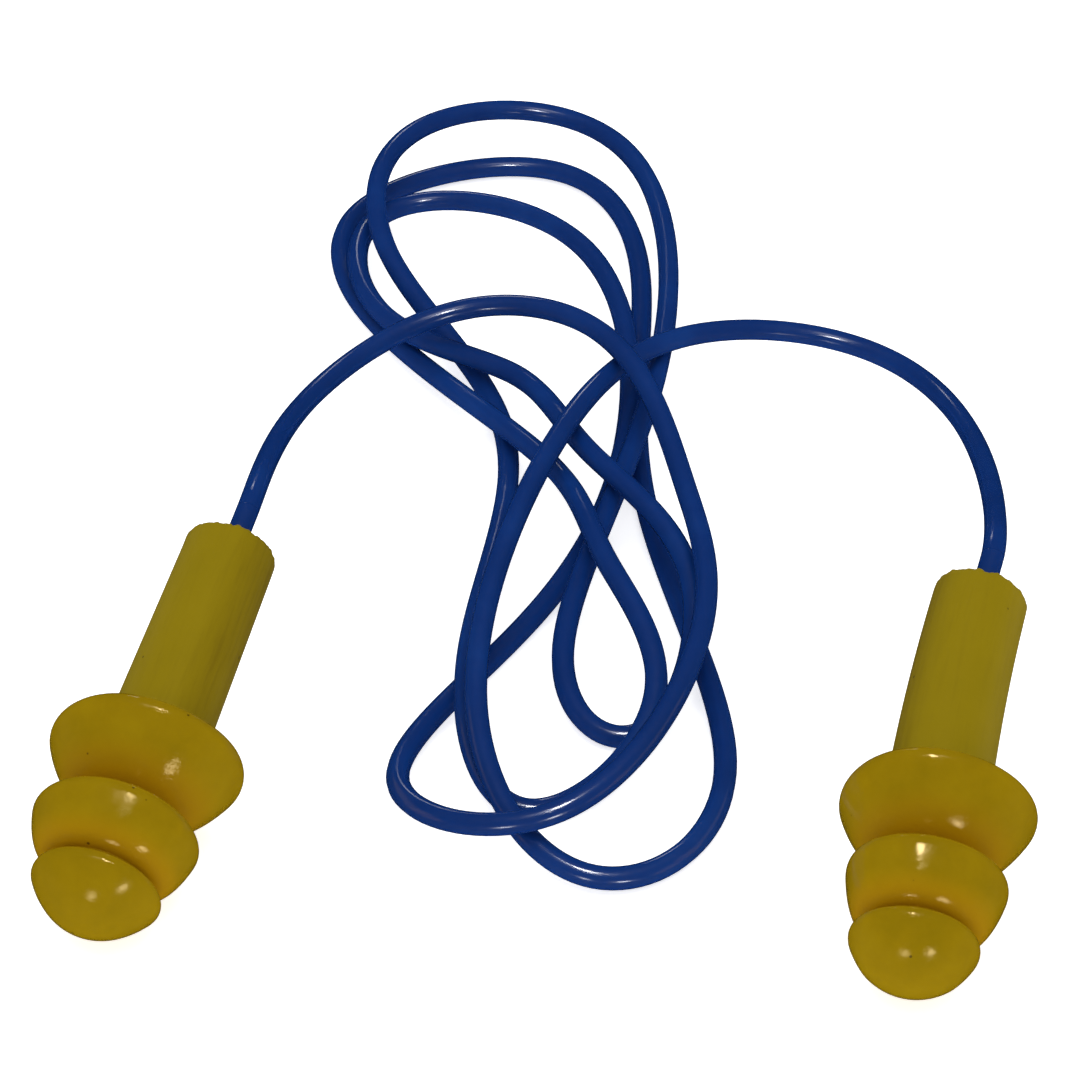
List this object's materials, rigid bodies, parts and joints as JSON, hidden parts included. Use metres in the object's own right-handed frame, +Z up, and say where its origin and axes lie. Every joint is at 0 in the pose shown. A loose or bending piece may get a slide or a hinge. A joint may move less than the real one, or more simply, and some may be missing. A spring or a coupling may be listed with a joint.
{
  "type": "corded ear plugs",
  "caption": "Pair of soft moulded ear plugs with stepped round flanges and a plain stem each, joined by a thin glossy cord bonded into both stem ends and lying in loose loops.",
  "frame": {"origin": "middle of the two plugs' footprint, on the surface they lie on", "axes": "+Z up; +Y from the plugs' tips towards their stems and the looped cord; +X to the right seen from the tips"},
  "size_m": [0.0595, 0.0906, 0.0125],
  "materials": {
    "plug_elastomer": "smooth soft thermoplastic elastomer, satin to glossy",
    "cord_vinyl": "glossy soft vinyl",
    "bond_glue": "clear cured adhesive"
  },
  "bodies": {
    "cord": {"cord": "cord_vinyl"},
    "left_lead": {"left_cord_lead": "cord_vinyl"},
    "left_plug": {"left_plug": "plug_elastomer", "left_bond": "bond_glue", "left_cord_end": "cord_vinyl"},
    "right_lead": {"right_cord_lead": "cord_vinyl"},
    "right_plug": {"right_plug": "plug_elastomer", "right_bond": "bond_glue", "right_cord_end": "cord_vinyl"}
  },
  "joints": [
    {"name": "left_swing", "type": "hinge", "parent": "cord", "child": "left_lead", "pos_m": [-0.01844, 0.01713, 0.01017], "axis": [0, 0, 1], "range_deg": [-45, 15]},
    {"name": "left_twist", "type": "hinge", "parent": "left_lead", "child": "left_plug", "pos_m": [-0.01896, 0.01533, 0.00974], "axis": [0.2685, 0.9365, 0.2256], "range_deg": [-90, 90]},
    {"name": "right_swing", "type": "hinge", "parent": "cord", "child": "right_lead", "pos_m": [0.02764, 0.01272, 0.01016], "axis": [0, 0, 1], "range_deg": [-15, 45]},
    {"name": "right_twist", "type": "hinge", "parent": "right_lead", "child": "right_plug", "pos_m": [0.0271, 0.01092, 0.00973], "axis": [0.2808, 0.9331, 0.2245], "range_deg": [-90, 90]}
  ]
}
